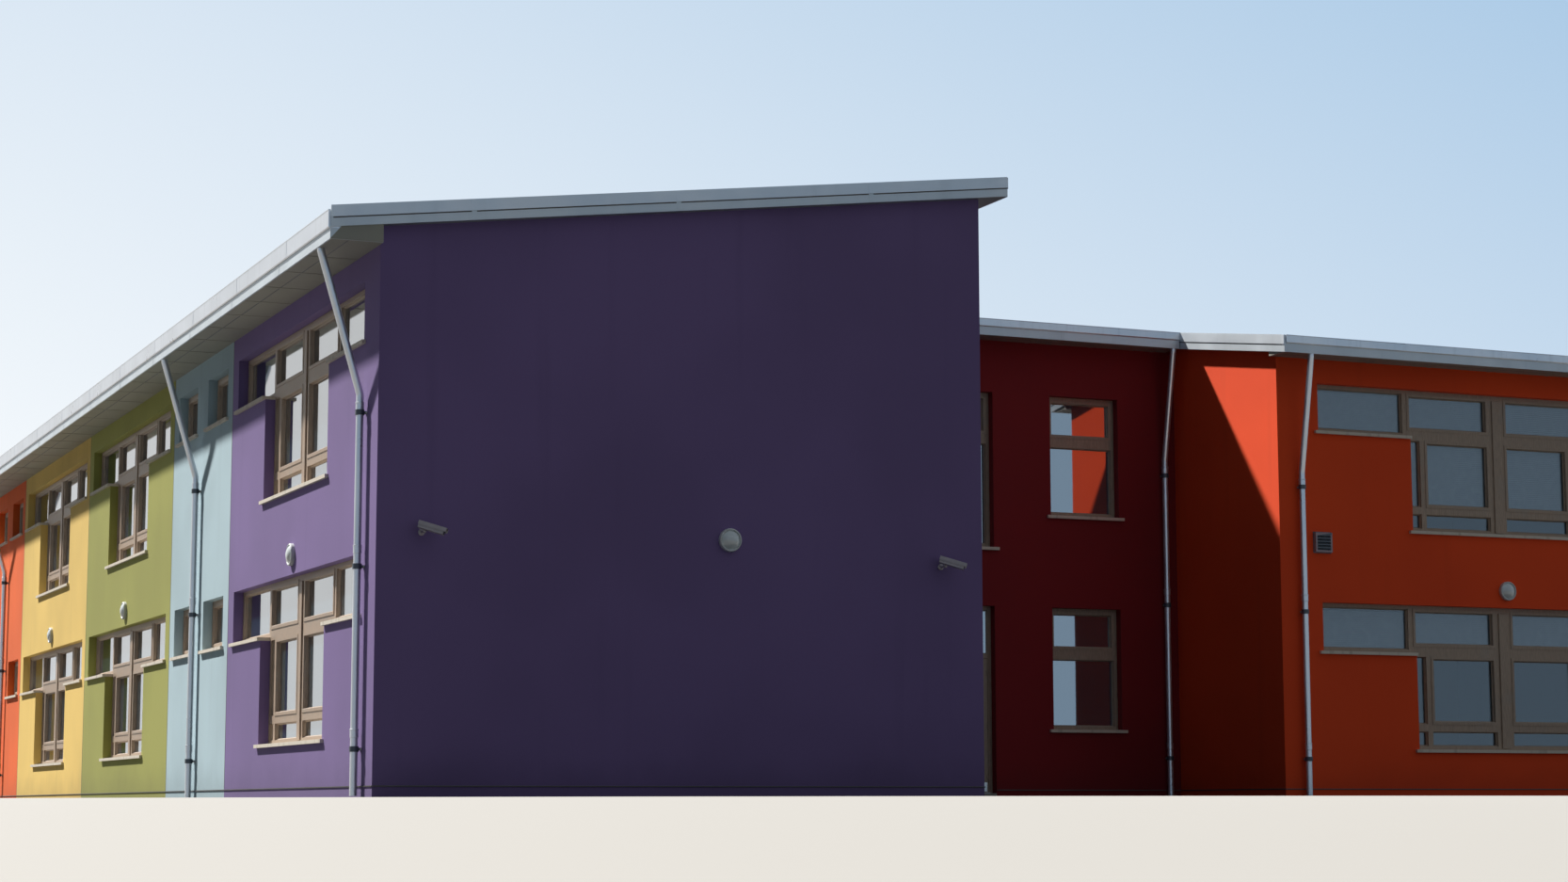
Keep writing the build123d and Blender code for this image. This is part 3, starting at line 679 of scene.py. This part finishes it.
def blinds():
    """Slatted blinds behind the glass: down behind the upper windows, part way behind the lower ones."""
    pitch, slat, thick, back, side, first = 0.032, 0.035, 0.0008, 0.245, 0.02, 0.6
    head_half, head_tall, foot_half, foot_tall = 0.02, 0.03, 0.014, 0.018
    band_foot, recess_foot = WING_SILL + 0.09, 1.5
    stem_feet = {0: WING_SILL + 0.02, STOREY: LOW_TRANSOM_AT + 0.1}
    tilt = Matrix.Rotation(math.radians(62), 4, "X")
    piece = Piece("window_blinds", "camera_shell", material=SLATS)
    spans = []
    for place, centre in TEES:
        for level, stem_foot in stem_feet.items():
            band = (STEM_HALF + SLIM / 2, TEE_HALF - MEMBER, band_foot)
            stem = (POST / 2, STEM_HALF - SLIM / 2, stem_foot)
            for way in (-1, 1):
                for near, far, foot in (band, stem):
                    u0, u1 = sorted((centre + way * near, centre + way * far))
                    spans.append((place, u0, u1, level + foot, level + HEAD - MEMBER))
    half = UPRIGHT_WIDTH / 2 - MEMBER
    spans.append((RECESS, RECESS_WINDOW - half, RECESS_WINDOW + half, recess_foot, UPRIGHT_HEAD - MEMBER))
    for place, u0, u1, foot, top in spans:
        u0, u1 = u0 + side, u1 - side
        piece.box(place, u0, u1, back - head_half, back + head_half, top - head_tall, top)
        piece.box(place, u0, u1, back - foot_half, back + foot_half, foot - foot_tall, foot)
        for number in range(int((top - head_tall - foot) / pitch)):
            leaf = place @ Matrix.Translation((0, back, foot + pitch * (number + first))) @ tilt
            piece.box(leaf, u0, u1, -slat / 2, slat / 2, -thick, thick)
    piece.finish()


# Walls


def foot_beads():
    """The bead over the wall's foot, all round except at the door and the party walls."""
    out = 0.012
    piece = Piece("foot_beads", "rainwater_metal", material=DARK_GREY_AND_SHADOW)
    runs = [
        (GABLE, -out, BLOCK_WIDTH + out), (STREET, -BLOCK_LENGTH, 0),
        (YARD, 0, RECESS_FRONT), (YARD, WING_BACK, BLOCK_LENGTH),
        (RECESS, BLOCK_WIDTH, ENTRANCE_LEFT), (RECESS, ENTRANCE_RIGHT, RETURN_AT),
        (RETURN, -RECESS_FRONT, -WING_FRONT), (WING, RETURN_AT - out, WING_RIGHT),
        (REAR, -WING_RIGHT, -BLOCK_WIDTH),
    ]
    for place, u0, u1 in runs:
        piece.box(place, u0, u1, -out, 0, FOOT_BEAD_LOW, FOOT_BEAD_HIGH)
    piece.finish(bevel=0.002)


def colour_joints():
    """Sealed joints where one colour of render meets the next."""
    half, out = 0.009, 0.002
    piece = Piece("render_joints", "soffit", material=DARK_GREY_AND_SHADOW)
    for y in (PURPLE_END, BLUE_END, GREEN_END, YELLOW_END):
        piece.box(STREET, -y - half, -y + half, -out, 0, FOOT_BEAD_HIGH, SOFFIT)
    piece.finish()


# Roofs


def block_roof_place(y, x=EAVE):
    """A place on the block's roof, with X up the slope."""
    tilt = Matrix.Rotation(-math.atan(BLOCK_SLOPE), 4, "Y")
    return Matrix.Translation(CORNER + Vector((x, y, BLOCK_TOP + BLOCK_SLOPE * x))) @ tilt


def wing_roof_place(x, y):
    """A place on the wing's roof, with Y up the slope."""
    tilt = Matrix.Rotation(math.atan(WING_SLOPE), 4, "X")
    return Matrix.Translation(CORNER + Vector((x, y, WING_TOP + WING_SLOPE * (y - WING_FRONT)))) @ tilt


def roof_seams():
    """Standing seams up both slopes."""
    pitch, half, tall, fold_half, fold_tall = 0.5, 0.009, 0.008, 0.014, 0.004
    start_in, stop, clear = 0.4, 0.36, 0.1
    block = Piece("block_roof_seams", "roof_sheet")
    end = (HIGH_EDGE - EAVE) * BLOCK_STRETCH - stop
    for number in range(1, int((BLOCK_LENGTH - VERGE) / pitch) + 1):
        place = block_roof_place(VERGE + pitch * number)
        block.box(place, start_in, end, -half, half, 0, tall)
        block.box(place, start_in, end, -fold_half, fold_half, tall, tall + fold_tall)
    block.finish()
    wing = Piece("wing_roof_seams", "roof_sheet")
    for x in spaced(pitch, BLOCK_WIDTH + pitch, WING_RIGHT - pitch / 2):
        if RETURN_VERGE - clear < x < RETURN_VERGE + clear:
            continue
        start = WING_EAVE if x > RETURN_VERGE else RECESS_EAVE
        place = wing_roof_place(x, start)
        end = (WING_EDGE - start) * WING_STRETCH - stop
        wing.box(place, -half, half, start_in, end, 0, tall)
        wing.box(place, -fold_half, fold_half, start_in, end, tall, tall + fold_tall)
    wing.finish()


def roof_cappings():
    """Flat cappings inside the high edges and the verges."""
    thick, width, verge_width, inset, verge_inset, wall_gap = 0.004, 0.3, 0.16, 0.06, 0.05, 0.4
    # The cappings are drawn in the painted shade of the tops
    caps = Piece("roof_cappings", "flashing", material=PAINTED_SHADE_TOPS)
    run = (HIGH_EDGE - EAVE) * BLOCK_STRETCH
    top = (run - width - inset, run - inset)
    caps.box(block_roof_place(VERGE), 0, run - verge_inset, 0, verge_width, 0, thick)
    caps.box(block_roof_place(0), *top, VERGE + verge_width, BLOCK_LENGTH, 0, thick)
    edge = wing_roof_place(0, WING_EAVE)
    run = (WING_EDGE - WING_EAVE) * WING_STRETCH
    caps.box(edge, BLOCK_WIDTH + wall_gap, WING_RIGHT, run - width - inset, run - inset, 0, thick)
    recess_start = (RECESS_EAVE - WING_EAVE) * WING_STRETCH
    caps.box(edge, RETURN_VERGE, RETURN_VERGE + verge_width, 0, recess_start, 0, thick)
    caps.finish(bevel=0.001)


def board_joints():
    """Cover straps over the joints of flashings and boards, and a dark painted shadow line under the
    flashings.
    """
    half, proud, pitch, edge = 0.035, 0.003, 2.9, 0.003
    shadow_line_tall, shadow_line_proud, above = 0.016, 0.001, 0.1
    upper = Piece("flashing_joint_straps", "flashing")
    lower = Piece("fascia_joint_straps", "fascia")
    # Painted shadow: a thin dark strip on the board, where the flashing's proud edge throws its shade
    line = Piece("flashing_painted_shadow_lines", "fascia", material=DARK_GREY_AND_SHADOW)
    verge = block_roof_place(VERGE, 0)
    for x in spaced(pitch, 1.2, HIGH_EDGE - 0.4):
        upper.box(verge, x - half, x + half, -FLASHING - proud, -FLASHING, -FLASHING_DEPTH, -edge)
        lower.box(verge, x - half, x + half, -BOARD - proud, -BOARD, -ROOF_DEPTH + edge, -FLASHING_DEPTH)
    shadow_line_depths = (-BOARD - shadow_line_proud, -BOARD)
    heights = (-FLASHING_DEPTH - shadow_line_tall, -FLASHING_DEPTH)
    line.box(verge, -0.7, HIGH_EDGE * BLOCK_STRETCH, *shadow_line_depths, *heights)
    run = wing_roof_place(RETURN_VERGE, WING_EAVE)
    line.box(run, *shadow_line_depths, -above, (RECESS_EAVE - WING_EAVE) * WING_STRETCH, *heights)
    line.finish()
    for e in EAVES:
        for u in along(e, pitch, first=1.9, last=0.4):
            lower.box(e.place, u - half, u + half, e.out - proud, e.out, e.foot, e.floor - 0.002)
    upper.finish(bevel=0.001)
    lower.finish(bevel=0.001)


def soffit_strips():
    """Cover strips across the soffits and the slotted vent along them."""
    half, drop, pitch = 0.03, 0.006, 1.22
    slot, slot_drop, slot_end = (0.1, 0.115), 0.002, 0.05
    piece = Piece("soffit_strips", "soffit")
    vents = Piece("soffit_vents", "soffit", material=DARK_METAL_AND_VENT_SHADE)
    for e in EAVES:
        for u in along(e, pitch, first=0.7, last=0.1):
            piece.box(e.place, u - half, u + half, e.out + BOARD, -0.002, e.foot - drop, e.foot)
        near, far = (e.edge + d for d in slot)
        vents.box(e.place, e.u0 + slot_end, e.u1 - slot_end, near, far, e.foot - slot_drop, e.foot)
    piece.finish(bevel=0.0015)
    vents.finish()


def gutter_fittings():
    """The gutters' moulded fronts, a little proud of the boards under them, with sleeves and straps."""
    proud, turn, lip, lip_tall, inner = 0.026, 0.014, 0.004, 0.002, 0.006
    strap_half, strap_pitch, strap = 0.012, 1.0, 0.003
    sleeve_half, sleeve_pitch, sleeve = 0.05, 3.0, 0.0025
    fronts = Piece("gutter_fronts", "rainwater_metal")
    straps = Piece("gutter_fittings", "rainwater_metal")
    for e in EAVES:
        foot, rim = e.floor, e.rim
        section = [
            (0, foot), (-proud * 0.6, foot), (-proud, foot + turn), (-proud, rim - 0.012),
            (-proud - lip, rim - 0.008), (-proud - lip, rim + lip_tall),
            (inner, rim + lip_tall), (inner, rim), (0, rim),
        ]
        fronts.drawn(e.place @ Matrix.Translation((0, e.out, 0)), section, e.u0, e.u1)
        front = e.out - proud
        for u in along(e, sleeve_pitch, first=1.4, last=0.3):
            ends = (u - sleeve_half, u + sleeve_half)
            straps.box(e.place, *ends, front - sleeve, front, foot + turn, rim - turn)
        for u in along(e, strap_pitch, first=0.45, last=0.1):
            ends = (u - strap_half, u + strap_half)
            straps.box(e.place, *ends, e.out + 0.001, e.back - 0.002, rim - strap, rim)
    fronts.finish()
    straps.finish()


# Pipes


def pipe_places():
    """The five downpipes: the place at the wall, and the height of the bend."""
    block, wing, recess = EAVES
    spots = [(block, -y) for y in STREET_PIPES] + [(recess, RECESS_PIPE), (wing, WING_PIPE)]
    return [(e.place @ Matrix.Translation((u, 0, 0)), e.foot - BEND_DROP) for e, u in spots]


def pipe_fittings():
    """Socket rings where lengths of pipe meet, and the clips' bolts on their plates."""
    stand, radius, under_bend, over_middle, over_low = 0.09, 0.05, 0.16, 0.22, 0.2
    low, middle, high = 0.12, 0.57, 0.955
    aside, plate, plate_half, plate_tall = 0.028, 0.012, 0.014, 0.016
    socket = [
        (radius, -0.055), (0.056, -0.05), (0.056, 0.04), (0.06, 0.045), (0.06, 0.055), (radius, 0.06),
    ]
    head = [(0, 0.008), (0.006, 0.008), (0.008, 0.005), (0.008, 0), (0, 0)]
    rings = Piece("pipe_sockets", "rainwater_metal")
    bolts = Piece("pipe_bolts", "steel")
    for place, bend in pipe_places():
        for z in (bend - under_bend, bend * middle + over_middle, bend * low + over_low):
            rings.ringed(place @ Matrix.Translation((0, -stand, z)), socket, 28)
        for z in (bend * low, bend * middle, bend * high):
            for u in (-aside, aside):
                bolts.turned(place @ (Matrix.Translation((u, -plate, z)) @ OUTWARD), head, 6)
                bolts.box(place, u - plate_half, u + plate_half, -plate, 0, z - plate_tall, z + plate_tall)
    rings.finish(smooth=True)
    bolts.finish()


# Lamps, cameras and vent


def lamp_places():
    """The middle of each round lamp on the wall, with Z pointing out of it."""
    spots = [(GABLE, GABLE_LAMP), *TEES]
    return [place @ Matrix.Translation((u, 0, LAMP_HEIGHT)) @ OUTWARD for place, u in spots]


def lamp_bezels():
    """A rolled rim round each lens, with its screws."""
    screw_circle, rim_face, first_angle = 0.145, 0.058, 0.4
    rim = [
        (0.133, 0.036), (0.134, 0.05), (0.14, rim_face), (0.15, rim_face), (0.158, 0.05), (0.1605, 0.035),
        (0.159, 0.02),
    ]
    screw = [(0, 0.004), (0.005, 0.003), (0.006, 0), (0, 0)]
    rims = Piece("lamp_rims", "lamp_body")
    screws = Piece("lamp_screws", "steel")
    for place in lamp_places():
        rims.ringed(place, rim, 56)
        for k in range(3):
            turn = Matrix.Rotation(math.tau * k / 3 + first_angle, 4, "Z")
            screws.turned(place @ turn @ Matrix.Translation((screw_circle, 0, rim_face)), screw, 12)
    rims.finish(smooth=True)
    screws.finish()


def camera_units():
    """The two boxed cameras: wall plate with arm, knuckle, body with two saddles, hood and window."""
    arm_end, rear, front, half, tall, sunk = 0.145, -0.075, 0.275, 0.042, 0.04, 0.008
    hood_rear, hood_front, hood_half, hood_inner = rear - 0.006, front + 0.028, half + 0.01, half + 0.007
    arm = [
        (0, 0), (0.044, 0), (0.044, 0.008), (0.034, 0.014), (0.02, 0.018), (0.016, 0.05),
        (0.016, arm_end - 0.02), (0, arm_end - 0.015),
    ]
    knuckle = [(0, 0), (0.018, 0.002), (0.024, 0.012), (0.024, 0.03), (0.016, 0.04), (0, 0.046)]
    dip, swing = Matrix.Rotation(math.radians(20), 4, "Y"), Matrix.Rotation(math.radians(-30), 4, "Z")
    shell = Piece("camera_housings", "camera_shell")
    dark = Piece("camera_windows", "camera_shell", material=SHADE)
    for u, height in CAMERAS:
        wall_place = GABLE @ Matrix.Translation((u, 0, height))
        shell.turned(wall_place @ OUTWARD, arm, 32)
        shell.turned(wall_place @ Matrix.Translation((0, -arm_end, -0.02)), knuckle, 32)
        head = wall_place @ Matrix.Translation((0, -arm_end, 0.073)) @ dip @ swing
        shell.box(head, rear, front, -half, half, -tall - sunk, tall - sunk)
        shell.box(head, hood_rear, hood_front, -hood_half, hood_half, tall + 0.002, tall + 0.005)
        for side in (-1, 1):
            lip = sorted((side * hood_half, side * hood_inner))
            shell.box(head, hood_rear, hood_front, *lip, -0.008, tall + 0.004)
        for x in (rear + 0.03, front - 0.05):
            shell.box(head, x, x + 0.012, -half + 0.004, half - 0.004, tall - sunk, tall + 0.002)
        dark.box(head, front, front + 0.003, -half + 0.006, half - 0.006, -tall, tall - 0.016)
    shell.finish(bevel=0.003, smooth=True, replaces=["security_cameras"])
    dark.finish(bevel=0.001)


def vent_blades():
    """Sloping louvres in the wall vent, and its flange, all in dark grey, which on the louvres is painted
    shade of the vent's hollow inside.
    """
    blades, first, out, deep, thick, gap = 5, 0.42, 0.045, 0.018, 0.0012, 0.001
    flange, flange_out = 0.014, 0.003
    piece = Piece("vent_louvres", "rainwater_metal", material=DARK_METAL_AND_VENT_SHADE)
    centre = WING @ Matrix.Translation((VENT[0], 0, VENT[1]))
    pitch = 2 * VENT_INNER / blades
    tilt = Matrix.Rotation(math.radians(38), 4, "X")
    for number in range(blades):
        place = centre @ Matrix.Translation((0, -out, -VENT_INNER + pitch * (number + first))) @ tilt
        piece.box(place, -VENT_INNER + gap, VENT_INNER - gap, -deep, deep, -thick, thick)
    edge = VENT_HALF + flange
    section = [(0, 0), (0, -flange_out), (flange, -flange_out), (flange, 0)]
    piece.surround(centre, (-edge, edge, -edge, edge), section)
    piece.finish()


# Entrance


def glazing_bead(near, far, width, face_width):
    """The section of a bead that slopes down from the frame's face, near, to the glass, far."""
    return [(0, near), (0, far), (width, far), (width, (near + 2 * far) / 3), (face_width, near)]


def entrance_details():
    """Beads round the door's glass and the fixed lights, kick plates, and the bar on the threshold."""
    member, sidelight, gap, leaf_top, stile, rail = 0.07, 0.33, 0.005, 2.33, 0.11, 0.25
    leaf, glass_half, plate_out, plate_in, plate_tall = 0.05, 0.0065, 0.0015, 0.02, 0.17
    bar_front, bar_back, bar_tall, ridge_half, ridge_tall = 0.1, 0.24, 0.003, 0.002, 0.005
    front = REVEAL + gap
    back = front + leaf
    middle = (front + back) / 2
    light_edge = ENTRANCE_LEFT + member + sidelight
    leaf0, leaf1 = light_edge + member + gap, ENTRANCE_RIGHT - member - gap
    foot = FLOOR + 2 * gap
    pane = (leaf0 + stile, leaf1 - stile, foot + rail, leaf_top - stile)
    bead = Piece("door_glazing_beads", "joinery", body=DOOR)
    for near, far in ((front, middle - glass_half), (back, middle + glass_half)):
        bead.surround(RECESS, pane, glazing_bead(near, far, 0.014, 0.006))
    bead.finish()
    plate = Piece("door_kick_plates", "steel", body=DOOR)
    for d0, d1 in ((front - plate_out, front), (back, back + plate_out)):
        plate.box(RECESS, leaf0 + plate_in, leaf1 - plate_in, d0, d1, foot + plate_in, foot + plate_tall)
    plate.finish()
    fixed = Piece("entrance_light_beads", "joinery")
    left, right, over = ENTRANCE_LEFT + member, ENTRANCE_RIGHT - member, leaf_top + gap
    side_light = (left, light_edge, FLOOR + member, over)
    over_light = (left, right, over + member, ENTRANCE_HEAD - member)
    for light in (side_light, over_light):
        for near, far in ((REVEAL + 0.01, middle - glass_half), (REVEAL + 0.09, middle + glass_half)):
            fixed.surround(RECESS, light, glazing_bead(near, far, 0.016, 0.004))
    fixed.finish()
    bar = Piece("threshold_bar", "rainwater_metal")
    ends = (leaf0 - gap, leaf1 + gap)
    bar.box(RECESS, *ends, bar_front, bar_back, FLOOR, FLOOR + bar_tall)
    for d in (0.11, 0.125, 0.14, 0.215, 0.23):
        bar.box(RECESS, *ends, d - ridge_half, d + ridge_half, FLOOR + bar_tall, FLOOR + ridge_tall)
    bar.finish()


dress_nodes()
sashes()
post_covers()
blinds()
foot_beads()
colour_joints()
roof_seams()
roof_cappings()
board_joints()
soffit_strips()
gutter_fittings()
pipe_fittings()
lamp_bezels()
camera_units()
vent_blades()
entrance_details()


# Floor, backdrop, light and camera


def floor():
    """A pale floor: level round the building, and lower further out, where the camera stands.

    Matt surfaces see it darker, so that the shaded walls keep their depth.
    """
    level_to, low_from, drop, far, steps, rings = 24.0, 52.0, 1.6, 600.0, 96, 16
    mesh = bmesh.new()
    slope = [level_to + (low_from - level_to) * k / rings for k in range(1, rings + 1)]
    radii = [0.0, level_to] + slope + [far]
    rows = []
    for radius in radii:
        share = min(1.0, max(0.0, (radius - level_to) / (low_from - level_to)))
        z = -drop * share * share * (3 - 2 * share)
        angles = [math.tau * k / steps for k in range(steps if radius else 1)]
        rows.append([mesh.verts.new((radius * math.cos(a), radius * math.sin(a), z)) for a in angles])
    for inner, outer in zip(rows, rows[1:]):
        for k in range(steps):
            n = (k + 1) % steps
            quad = [inner[k % len(inner)], inner[n % len(inner)], outer[n], outer[k]]
            mesh.faces.new(list(dict.fromkeys(quad))[::-1])
    data = bpy.data.meshes.new("floor")
    bmesh.ops.recalc_face_normals(mesh, faces=mesh.faces)
    mesh.to_mesh(data)
    mesh.free()
    data.shade_smooth()
    made = placed("floor", data)
    look = Look("floor", srgb(48, 48, 47), 0.85)
    path = look.nodes.new("ShaderNodeLightPath").outputs
    seen = look.maths("MAXIMUM", path["Is Camera Ray"], path["Is Glossy Ray"])
    seen = look.maths("MAXIMUM", seen, path["Is Transmission Ray"])
    look.paint(look.mix(seen, look.colour, srgb(176, 174, 170)))
    data.materials.append(look.material)


def backdrop():
    """The sky that camera, gloss and glass see, and the soft light on matt surfaces.

    The sky is whiter towards the sun and lower down. The soft light is weak from the street side, where
    the photo's trees stand and the sun does the work.
    """
    world = bpy.data.worlds.new("studio")
    bpy.context.scene.world = world
    world.use_nodes = True
    nodes, links = world.node_tree.nodes, world.node_tree.links

    def joined(kind, *inputs):
        node = nodes.new(kind)
        for number, value in enumerate(inputs):
            if hasattr(value, "links"):
                links.new(value, node.inputs[number])
            else:
                node.inputs[number].default_value = value
        return node

    def larger(first, second):
        node = joined("ShaderNodeMath", first, second)
        node.operation = "MAXIMUM"
        return node.outputs[0]

    whiter_towards, blue_at, white_at = (-0.5, 0.75, -1.5), -0.15, 0.58
    street_side, yard_side, weak, full = -0.6, 0.2, 0.03, 0.29
    aim = nodes.new("ShaderNodeTexCoord").outputs["Generated"]
    sunward = joined("ShaderNodeVectorMath", aim, whiter_towards)
    sunward.operation = "DOT_PRODUCT"
    whiteness = joined("ShaderNodeMapRange", sunward.outputs["Value"], blue_at, white_at, 0.0, 1.0)
    sky = nodes.new("ShaderNodeMix")
    sky.data_type = "RGBA"
    links.new(whiteness.outputs["Result"], sky.inputs["Factor"])
    sky.inputs[MIX_FIRST].default_value = srgb(172, 202, 230)
    sky.inputs[MIX_SECOND].default_value = srgb(250, 253, 255)
    shown = joined("ShaderNodeBackground", sky.outputs[MIXED], 1.0)
    across = joined("ShaderNodeSeparateXYZ", aim).outputs["X"]
    strength = joined("ShaderNodeMapRange", across, street_side, yard_side, weak, full)
    light = joined("ShaderNodeBackground", (0.94, 0.96, 1.0, 1.0), strength.outputs["Result"])
    path = nodes.new("ShaderNodeLightPath").outputs
    seen = larger(larger(path["Is Camera Ray"], path["Is Glossy Ray"]), path["Is Transmission Ray"])
    mixed = joined("ShaderNodeMixShader", seen, light.outputs[0], shown.outputs[0])
    links.new(mixed.outputs[0], nodes["World Output"].inputs["Surface"])


def sun():
    """The key light, from the street side and a little behind the gable, as the photo's shadows fall."""
    lamp = bpy.data.lights.new("key", "SUN")
    lamp.energy = 6.7
    lamp.angle = math.radians(2.5)
    lamp.color = (1.0, 0.96, 0.9)
    made = placed("key", lamp)
    made.rotation_mode = "QUATERNION"
    made.rotation_quaternion = Vector((0.95, -1.45, -2.0)).to_track_quat("-Z", "Y")


def camera():
    """The photo's own view: a standing eye on the lower ground in front of the gable's left corner.

    It was solved from the wall edges and the window levels that the photo shows.
    """
    lens = bpy.data.cameras.new("camera")
    lens.lens = 65.34
    lens.clip_end = 2000
    made = placed("camera", lens)
    made.location = CORNER + Vector((-9.724, -35.359, -0.121))
    made.rotation_euler = (math.radians(90 + 7.33), math.radians(0.094), math.radians(-23.559))
    bpy.context.scene.camera = made


floor()
backdrop()
sun()
camera()
bpy.context.scene.view_settings.view_transform = "Standard"
